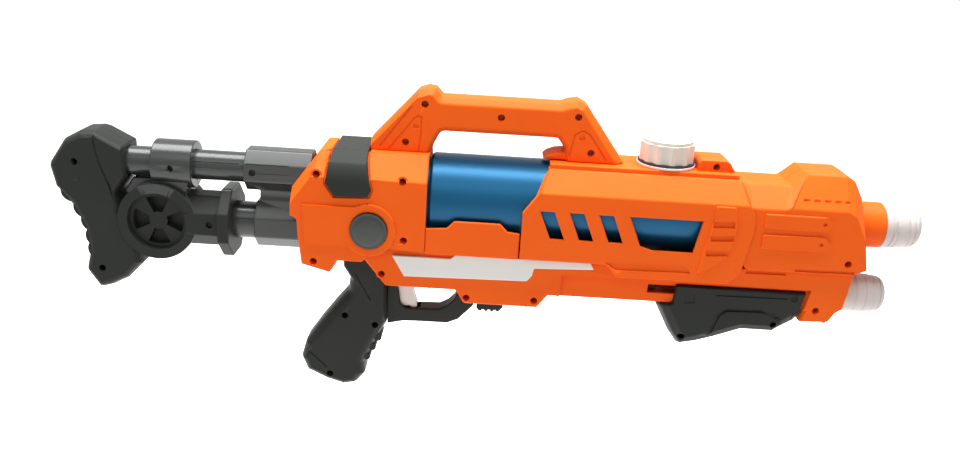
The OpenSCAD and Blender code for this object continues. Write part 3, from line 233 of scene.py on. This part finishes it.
def soften(piece, width, sign=0, away=()):
    in_edit_mode(piece)
    bpy.ops.mesh.select_mode(type="EDGE")
    bpy.ops.mesh.select_all(action="DESELECT")
    bpy.ops.object.mode_set(mode="OBJECT")
    chosen = outer_edges(piece, sign, away)
    for edge in chosen:
        edge.select = True
    bpy.ops.object.mode_set(mode="EDIT")
    if chosen:
        bpy.ops.mesh.bevel(offset=width / 1000, segments=3, affect="EDGES", clamp_overlap=False)
    bpy.ops.object.mode_set(mode="OBJECT")


# %% [markdown]
# Every plastic here is coloured through and moulded, so its surface is the mould's surface.
# A fine noise gives that surface its grain, in roughness and in bump.
# A slow noise, about 45 mm wide, keeps large faces from looking flat.
# The true grain is finer than a pixel of the render, so it is drawn coarser to show at all.

# %% One plastic from its two tones, its roughness and its grain
def linear(code):
    parts = [int(code[i:i + 2], 16) / 255 for i in (1, 3, 5)]
    return tuple(p / 12.92 if p <= 0.04045 else ((p + 0.055) / 1.055) ** 2.4 for p in parts) + (1,)


def node(tree, kind, inputs, **settings):
    made = tree.nodes.new(kind)
    for key, value in settings.items():
        setattr(made, key, value)
    for key, value in inputs.items():
        if isinstance(value, bpy.types.NodeSocket):
            tree.links.new(value, made.inputs[key])
        else:
            made.inputs[key].default_value = value
    return made


SLOW_MM = 45


def moulded(name, dark, light, rough, grain_mm, depth_mm, **extra):
    material = bpy.data.materials.new(name)
    material.use_nodes = True
    tree = material.node_tree
    tree.nodes.clear()
    place = node(tree, "ShaderNodeTexCoord", {}).outputs["Object"]
    slow = node(tree, "ShaderNodeTexNoise", {"Vector": place, "Scale": 1000 / SLOW_MM, "Detail": 2})
    grain = node(tree, "ShaderNodeTexNoise", {"Vector": place, "Scale": 1000 / grain_mm, "Detail": 3})
    tones = {"Factor": slow.outputs["Fac"], "A": linear(dark), "B": linear(light)}
    colour = node(tree, "ShaderNodeMix", tones, data_type="RGBA")
    shine = node(tree, "ShaderNodeMapRange",
                 {"Value": grain.outputs["Fac"], "To Min": rough - 0.06, "To Max": rough + 0.06})
    bump = node(tree, "ShaderNodeBump",
                {"Height": grain.outputs["Fac"], "Strength": 0.35, "Distance": depth_mm / 1000})
    shader = node(tree, "ShaderNodeBsdfPrincipled",
                  {"Base Color": colour.outputs["Result"], "Roughness": shine.outputs["Result"],
                   "Normal": bump.outputs["Normal"], **extra})
    node(tree, "ShaderNodeOutputMaterial", {"Surface": shader.outputs["BSDF"]})
    return material


# %% The plastics, the rubber and the metals
# Satin orange ABS: a strong, even orange
orange = moulded("orange_abs_moulded", "#EB5B12", "#EF6215", 0.50, 0.6, 0.02,
                 **{"Specular IOR Level": 0.12})
# Dark grey ABS from a sparked mould: even, slightly green, dull
grey = moulded("dark_grey_abs_spark_textured", "#222421", "#282A27", 0.5, 0.5, 0.03,
               **{"Specular IOR Level": 0.13})
# The same grey from a polished mould: long bright reflections
gloss = moulded("dark_grey_abs_polished", "#2A2D2B", "#303331", 0.24, 1.5, 0.02,
                **{"Specular IOR Level": 0.4})
# White ABS: warm, close to a light grey in shade
white = moulded("white_abs_moulded", "#D8D7D3", "#DEDCD8", 0.40, 0.6, 0.02)
# Milky white of the nozzle caps: warm, a little darker and pinker than the panels; the darker tone is partly
# the caps' own white and partly painted shade, the shade that falls on the round caps and in their grooves
milky_with_painted_shade = moulded("milky_white_with_painted_shade", "#BFB6B2", "#C8BFBB", 0.42, 0.7, 0.02)
# Ivory white of the filler cap: a little yellower and darker than the panels
ivory = moulded("ivory_polypropylene_cap", "#C9C4B9", "#D1CCC2", 0.42, 0.7, 0.02)
# White acetal of the parts inside: a little slicker
inner = moulded("white_acetal_turned", "#E4E2DB", "#EAE8E2", 0.35, 0.8, 0.01)
# Blow-moulded tank with pearl pigment: half metallic, wide soft highlights
blue = moulded("blue_pearl_blow_moulded", "#0A4768", "#0D5073", 0.36, 3.0, 0.03, Metallic=0.45,
               **{"Specular IOR Level": 0.25})
# Natural plastic of the tank's collar under the cap: pale, a little pink
pale = moulded("pale_polypropylene_collar", "#D9CFC8", "#E0D7D1", 0.38, 0.8, 0.01)
# Nitrile rubber: black and dull
rubber = moulded("black_nitrile_rubber", "#121212", "#181818", 0.62, 0.4, 0.03)
# Black oxide screws: nearly black, with a dull metal gleam
steel = moulded("black_oxide_screw_steel", "#1C1A18", "#262320", 0.45, 0.4, 0.01, Metallic=1.0)
# The same black oxide screws down an orange hole: their reddish orange colour is a painted reflection of the
# hole's orange walls
screw_steel_painted_orange_reflection = moulded("screw_steel_with_painted_orange_reflection", "#86330F", "#963C14", 0.5, 0.4, 0.01, Metallic=0.2)
# Brass of the valve stem
brass = moulded("turned_brass", "#B08A3A", "#C09A48", 0.32, 0.4, 0.01, Metallic=1.0)
SLOTS = {"orange_shell": orange, "grey_shell": grey, "grey_gloss": gloss, "white_trim": white,
         "inner_white": inner, "blue_tank": blue, "black_rubber": rubber, "screw_steel": steel,
         "brass_parts": brass}
SLOT_OF = {row["node"]: row["material_slot"] for row in frame["record"]["subparts"]}
print("materials:", len(SLOTS), "for nodes:", len(SLOT_OF))


# %% [markdown]
# A finished skin takes the material of its node, rides on the node's body and hides the node itself.
# The CAD solid stays in the physics model, so the squirter still collides as it was built.

# %% Put a skin in its node's place
def stand_in(piece, name):
    only(piece)
    bpy.ops.object.shade_smooth_by_angle(angle=math.radians(38))
    apply(piece, "WEIGHTED_NORMAL", keep_sharp=True)
    piece.data.materials.clear()
    piece.data.materials.append(SLOTS[SLOT_OF[name]])
    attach(piece, frame["nodes"][name]["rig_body"])
    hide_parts(name)
    print(name, len(piece.data.polygons), "faces")


# %% [markdown]
# The rear housing is the block behind the tank, and a grey saddle is strapped over it.
# On the real one the saddle lies in a recess with a dark gap all round.
# A copy of the saddle, fattened by 1.7 mm, cuts that recess, so the gap is even wherever the strap turns.
# Two small spots are kept away from the rounding, because the bevel leaves slivers there.

# %% Rear housing
for side, sign in SIDES.items():
    shell = skin_of("rear_housing_" + side)
    soften(shell, 1.2, sign, away=[(7, 126, 7), (3.5, 94, 7)])
    room = skin_of("rear_saddle")
    in_edit_mode(room)
    bpy.ops.transform.shrink_fatten(value=0.0017, use_even_offset=True)
    bpy.ops.object.mode_set(mode="OBJECT")
    cut(shell, room)
    stand_in(shell, "rear_housing_" + side)

# %% [markdown]
# The saddle itself is a moulded strap that fills its recess, so its edges are rounded less than the casing's.

# %% Saddle
saddle = skin_of("rear_saddle")
soften(saddle, 0.7)
stand_in(saddle, "rear_saddle")

# %% [markdown]
# The shroud holds the tank, and its thumb panel has three worn-looking steps for grip.
# They could be a bump pattern, but a step that catches the light is better real, so each is sunk in.
# A long shallow recess runs under the tank window.

# %% Tank shroud
THUMB_STEPS = [[(286, 132.5), (302.4, 133.5), (303.1, 128.4), (286.7, 127.4)],
               [(285.6, 121.1), (303.1, 122.2), (303.7, 117.6), (286.2, 116.5)],
               [(283.3, 109), (301.9, 110.2), (302.6, 105.5), (284, 104.3)]]
for side, sign in SIDES.items():
    shell = skin_of("tank_shroud_" + side)
    soften(shell, 1.0, sign)
    for step in THUMB_STEPS:
        sink(shell, sign, step, 1.8)
    sink(shell, sign, [(207, 94), (270, 94.5), (274, 89), (216, 88)], 1.2)
    stand_in(shell, "tank_shroud_" + side)

# %% [markdown]
# The front housing carries the nozzle, and its shoulder has a row of five thumbnail dents.
# A flattened ball makes each one, because its rim fades out softly as a moulded dent does.
# A slot is sunk above the seam with the lower body.

# %% Front housing
for side, sign in SIDES.items():
    shell = skin_of("front_housing_" + side)
    soften(shell, 1.2, sign)
    for x in (357, 365, 373, 381, 389):
        cut(shell, ball_at(shell, sign, x, 151.5, 5.6, 3, 1.1))
    sink(shell, sign, [(355, 96.6), (402, 97.2), (402, 95), (356, 94.4)], 1.2)
    stand_in(shell, "front_housing_" + side)

# %% [markdown]
# The carry handle stands on two feet, and each foot has a sunk outline round a dimple and a screw.
# A crease runs along the bar where its top facet turns into the side.

# %% Carry handle
REAR_FOOT = [(33, 166), (52.8, 192.3), (55.5, 194.8), (58.9, 194), (58.7, 180.7), (57.4, 166.5)]
FRONT_FOOT = [(174.5, 171), (177.5, 187.5), (183.4, 191), (189.2, 188), (203, 169)]
LUMP = [(153.5, 166.2), (157.5, 169.8), (163.7, 172.3), (169.9, 173), (176, 171.5), (176, 166.2)]
for side, sign in SIDES.items():
    shell = skin_of("carry_handle_" + side)
    soften(shell, 1.2, sign)
    line(shell, sign, REAR_FOOT, 1.1, 0.8)
    line(shell, sign, [(27.5, 170), (50.5, 201.5)], 1.4, 0.8)
    line(shell, sign, FRONT_FOOT, 1.1, 0.8)
    line(shell, sign, [(75, 195.7), (168, 196.7)], 1.2, 0.7)
    cut(shell, ball_at(shell, sign, 54.8, 186.6, 4.6, 4.6, 1.4))
    cut(shell, ball_at(shell, sign, 183.3, 185, 4.6, 4.6, 1.4))
    lump = slab(LUMP, sign * 0.15, sign * 11)
    soften(lump, 2.0, sign)
    add(shell, lump)
    stand_in(shell, "carry_handle_" + side)

# %% [markdown]
# The lower body, its white panels and the round buttons are shapes that the CAD already has in full.
# They need only their edges.

# %% Lower body, side panels and buttons
for side, sign in SIDES.items():
    for part, width in (("lower_body", 0.8), ("side_panel", 0.7), ("side_button", 0.9)):
        shell = skin_of(part + "_" + side)
        soften(shell, width, sign)
        if part == "lower_body":
            sink(shell, sign, [(319, 92.4), (349, 92.4), (351, 89.6), (319, 89.2)], 1.2, at=(335, 84))
        stand_in(shell, part + "_" + side)
        if part == "side_button":
            shell.data.materials[0] = gloss

# %% [markdown]
# A hand closes round the grip, so its corners are much rounder than the casing's.
# Two lines mark where the real halves overlap, and the front strap has small ridges for the fingers.

# %% Grip, guard and trigger
# Places along the front strap that are kept from the rounding
FLUSH = [(20, -14, 6), (24.5, -5, 6), (29, 4, 6), (36, 20, 7),
         (36, 32, 9), (36, 46, 9), (30, 62, 12), (20, 76, 10)]
for side, sign in SIDES.items():
    shell = skin_of("grip_" + side)
    soften(shell, 2.4, sign, away=FLUSH)
    line(shell, sign, [(10.5, 62), (22.5, 41)], 1.3, 0.8)
    line(shell, sign, [(-27, -9.5), (-13, -22.5)], 1.3, 0.8)
    stand_in(shell, "grip_" + side)
# A ring so wide that it takes in all that lies behind x 36.6, where the guard meets the grip
BEHIND = [(-963.4, 38, 1000)]
for name, width in (("trigger_guard", 1.6), ("trigger", 1.0), ("finger_pad", 0.6)):
    shell = skin_of(name, away=BEHIND)
    soften(shell, width, away=BEHIND)
    stand_in(shell, name)

# %% [markdown]
# Inside, a coil spring pushes the valve shut again when the trigger is let go.
# One end sits in the valve body and the other follows the stem, so the coil shortens as the stem moves back.
# Here the coil only gets its material and a mesh of its own; nothing squashes it.

# %% Valve spring
spring = skin_of("valve_spring", away=[(78, 72, 20)])
stand_in(spring, "valve_spring")
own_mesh(spring)

# %% [markdown]
# The pump handle is pulled with the whole hand, and each side has a scoop for the fingers.
# The scoop is deep under its arched rim and runs out to nothing at the lower edge.
# So its cutter is a slab with a sloping back, and a groove along the arch draws its shadow.

# %% Pump handle
ARCH = [(297, 33.5), (303.3, 51.5), (306, 54.5), (311, 56.6),
        (336, 57.4), (345, 55.4), (350.5, 51.5), (354, 44)]
SCOOP = ARCH + [(353, 38), (323, 38), (303, 30)]
SCOOP_LOW_Z = 38
SCOOP_HIGH = 19
SCOOP_DEPTH = 0.9
for side, sign in SIDES.items():
    shell = skin_of("pump_handle_" + side)
    soften(shell, 1.3, sign)
    out = skin_y(shell, 325, 50, sign)
    scoop = slab(SCOOP, 0, sign * 8)
    for corner in scoop.data.vertices:
        depth = SCOOP_DEPTH * (corner.co.z * 1000 - SCOOP_LOW_Z) / SCOOP_HIGH
        corner.co.y += sign * (out - depth) / 1000
    cut(shell, scoop)
    line(shell, sign, ARCH, 3.0, 1.3)
    line(shell, sign, [(300, 69), (355, 69.6)], 1.2, 0.8)
    sink(shell, sign, [(274, 68), (282, 68.3), (283, 61), (274.8, 60.6)], 0.5)
    stand_in(shell, "pump_handle_" + side)

# %% [markdown]
# The butt rests against the shoulder.
# A line parts the pad from the neck, and a small nub sits by the upper screw.
# Ridges along the rear edge keep it from slipping: each is a round bar laid in the edge.

# %% Butt
RIDGE_HEIGHTS = (114, 102.5, 91.5, 81, 70)
RIDGE_R = 9.2
RIDGE_SUNK = 7.4
RIDGE_MIDDLE_Y = 8.4
PAD_LINE = [(-195, 164), (-193.7, 153.5), (-191, 141.7), (-184.9, 126.2), (-181.5, 112)]
for side, sign in SIDES.items():
    shell = skin_of("butt_" + side)
    soften(shell, 1.6, sign)
    line(shell, sign, PAD_LINE, 1.3, 0.9)
    add(shell, ball_at(shell, sign, -210, 129.7, 4.5, 4.5, 1.0))
    bpy.context.view_layer.update()
    starts = [Vector(mm(-300, sign * 15.5, z)) for z in RIDGE_HEIGHTS]
    spots = [shell.ray_cast(start, Vector((1, 0, 0))) for start in starts]
    for hit, spot, normal, index in spots:
        inward = Vector((normal.x, 0, normal.z)).normalized() * -RIDGE_SUNK / 1000
        middle = (spot.x + inward.x, sign * RIDGE_MIDDLE_Y / 1000, spot.z + inward.z)
        bpy.ops.mesh.primitive_cylinder_add(
            vertices=48, radius=RIDGE_R / 1000, depth=0.0162, rotation=(math.radians(90), 0, 0),
            location=middle)
        add(shell, bpy.context.object)
    stand_in(shell, "butt_" + side)

# %% [markdown]
# The stock's frame joins the tubes to the butt.
# Its round face is dished, with four pockets round a cross.
# The disc is kept away from the rounding, and the dish is cut over it.
# Each pocket is a wedge between two arms of the cross.
# The flat ring is shaded flat, because smooth shading would tilt its light towards the walls.

# %% Stock frame
DISC = (-148, 98)


def arc(radius, first, last, count):
    turns = [math.radians(first + (last - first) * k / (count - 1)) for k in range(count)]
    return [(DISC[0] + radius * math.cos(t), DISC[1] + radius * math.sin(t)) for t in turns]


for side, sign in SIDES.items():
    shell = skin_of("stock_frame_" + side, away=[DISC + (30.8,)])
    face_y = skin_y(shell, DISC[0], DISC[1] + 26, sign)
    soften(shell, 1.2, sign, away=[DISC + (33,)])
    cut(shell, slab(arc(23.5, 0, 354, 60), sign * (face_y - 4.5), sign * 40))
    for turn in (0, 90, 180, 270):
        pocket = arc(20.2, turn - 26.5, turn + 26.5, 9) + arc(7.3, turn + 26.5, turn - 26.5, 5)
        cut(shell, slab(pocket, sign * (face_y - 11), sign * 40))
    stand_in(shell, "stock_frame_" + side)
    for face in shell.data.polygons:
        face.use_smooth = not (near(face.center, [DISC + (31.5,)]) and abs(face.normal.y) > 0.99)
    apply(shell, "WEIGHTED_NORMAL", keep_sharp=True)
    shell.data.materials.append(gloss)
    for face in shell.data.polygons:
        if face.center.z > 0.122:
            face.material_index = 1

# %% [markdown]
# The tubes and the socket are extruded lengths with shallow lines along them.
# They come from a polished mould, so those lines break the long highlight into two.

# %% Stock tubes and socket
for name, axis, lines in (("upper_stock_tube", 142, [(-124, -84, 5), (-124, -84, 1)]),
                          ("lower_stock_tube", 98, [(-86, -73, 5)]),
                          ("stock_socket", 142, [(-76, -44, 7), (-68, -44, 0)])):
    shell = skin_of(name)
    soften(shell, 1.2)
    for sign in (-1, 1):
        for x0, x1, up in lines:
            line(shell, sign, [(x0, axis + up), (x1, axis + up)], 0.9, 0.5)
    stand_in(shell, name)

# %% [markdown]
# The tank is one blow moulding, and the collar under the cap is pale plastic.
# The collar's faces get a second material, picked by their height.

# %% Tank and cap
tank = skin_of("water_tank")
soften(tank, 0.3)
stand_in(tank, "water_tank")
tank.data.materials.append(pale)
for face in tank.data.polygons:
    if face.center.z > 0.1645:
        face.material_index = 1
cap = skin_of("fill_cap")
soften(cap, 0.5)
stand_in(cap, "fill_cap")
cap.data.materials[0] = ivory

# %% [markdown]
# The two nozzle caps are turned shapes with two fine grooves round each.
# A thin torus cuts a groove, since it follows the round surface by itself.

# %% Nozzles
for name, axis, rings in (("nozzle_sleeve", 126, ()), ("nozzle_cap", 126, (434, 452)),
                          ("lower_nozzle_cap", 67, (424, 436))):
    shell = skin_of(name)
    soften(shell, 0.8)
    for x in rings:
        bpy.context.view_layer.update()
        hit, spot, normal, index = shell.ray_cast(Vector(mm(x, -100, axis)), Vector((0, 1, 0)))
        bpy.ops.mesh.primitive_torus_add(
            major_segments=72, minor_segments=8, major_radius=-spot.y, minor_radius=0.0006,
            location=mm(x, 0, axis), rotation=(0, math.radians(90), 0))
        cut(shell, bpy.context.object)
    stand_in(shell, name)
    # The two grooved caps take the milky white that is partly painted shade
    if rings:
        shell.data.materials[0] = milky_with_painted_shade

# %% [markdown]
# Everything else is inside the casing or down a screw hole, and the CAD shape is already the real one.
# Those nodes keep their mesh and take a material.

# %% Hoses, pump and screws
for name, thing in frame["nodes"].items():
    if not thing.hide_render:
        thing.data.materials.clear()
        # Screws down an orange hole take the steel with the painted orange reflection
        down_orange_hole = name in ("casing_screws", "handle_screws")
        thing.data.materials.append(screw_steel_painted_orange_reflection if down_orange_hole else SLOTS[SLOT_OF[name]])
        print(name, SLOT_OF[name])

# %% [markdown]
# The photograph was taken on white with light from above.
# The floor is pale paper that glows for the camera and for reflections, so it reads as white.
# It adds no light to dull surfaces, and it still keeps the object's shadow.

# %% Floor
def background_rays(tree):
    ray = node(tree, "ShaderNodeLightPath", {}).outputs
    through = node(tree, "ShaderNodeMath", {0: ray["Is Camera Ray"], 1: ray["Is Transmission Ray"]},
                   operation="MAXIMUM")
    return node(tree, "ShaderNodeMath", {0: through.outputs[0], 1: ray["Is Glossy Ray"]},
                operation="MAXIMUM")


bpy.ops.mesh.primitive_plane_add(size=12, location=(0, 0, -0.25))
floor = bpy.context.object
floor.name = "pale_floor"
paper = bpy.data.materials.new("matt_white_paper")
paper.use_nodes = True
sheet = paper.node_tree
sheet.nodes.clear()
fibre = node(sheet, "ShaderNodeTexNoise",
             {"Vector": node(sheet, "ShaderNodeTexCoord", {}).outputs["Object"], "Scale": 1000 / 4})
papers = {"Factor": fibre.outputs["Fac"], "A": linear("#EDEDEB"), "B": linear("#F3F3F1")}
tone = node(sheet, "ShaderNodeMix", papers, data_type="RGBA")
matt = node(sheet, "ShaderNodeBsdfDiffuse", {"Color": tone.outputs["Result"]})
seen = background_rays(sheet)
glow = node(sheet, "ShaderNodeEmission", {"Color": linear("#FFFFFF"), "Strength": seen.outputs[0]})
both = node(sheet, "ShaderNodeAddShader", {0: matt.outputs[0], 1: glow.outputs[0]})
node(sheet, "ShaderNodeOutputMaterial", {"Surface": both.outputs[0]})
floor.data.materials.append(paper)
print("floor:", floor.name)

# %% [markdown]
# One large softbox overhead lights the tops more than the sides.
# A weak fill from the front and the white room light the sides.

# %% Light
def softbox(name, place, aim, width, height, watts):
    bpy.ops.object.light_add(type="AREA", location=place)
    light = bpy.context.object
    light.name = name
    light.data.shape = "RECTANGLE"
    light.data.size = width
    light.data.size_y = height
    light.data.energy = watts
    light.rotation_euler = (Vector(aim) - Vector(place)).to_track_quat("-Z", "Y").to_euler()


softbox("top_softbox", (0.1, 0.05, 1.3), (0.1, 0, 0.1), 1.8, 0.7, 55)
softbox("front_fill", (0.1, -0.75, 0.8), (0.1, 0, 0.12), 1.2, 0.4, 2.4)
world = bpy.data.worlds.new("white_room")
bpy.context.scene.world = world
world.use_nodes = True
sky = world.node_tree
sky.nodes.clear()
seen = background_rays(sky)
room = node(sky, "ShaderNodeBackground", {"Color": linear("#FFFFFF"), "Strength": 0.25})
backdrop = node(sky, "ShaderNodeBackground", {"Color": linear("#FFFFFF"), "Strength": 1.0})
which = node(sky, "ShaderNodeMixShader", {0: seen.outputs[0], 1: room.outputs[0], 2: backdrop.outputs[0]})
node(sky, "ShaderNodeOutputWorld", {"Surface": which.outputs[0]})

# %% [markdown]
# The camera stands to the right of the squirter, a little above it, and is rolled a few degrees.

# %% Camera
bpy.ops.object.camera_add(location=mm(109, -718.6, 345.4))
camera = bpy.context.object
camera.data.lens = 35
camera.data.sensor_width = 36
look = (Vector(mm(109, 0, 98)) - camera.location).to_track_quat("-Z", "Y")
camera.rotation_euler = (look @ Quaternion((0, 0, 1), math.radians(3.5))).to_euler()
bpy.context.scene.camera = camera
bpy.context.scene.view_settings.view_transform = "Standard"
print("camera at", tuple(round(v, 3) for v in camera.location))
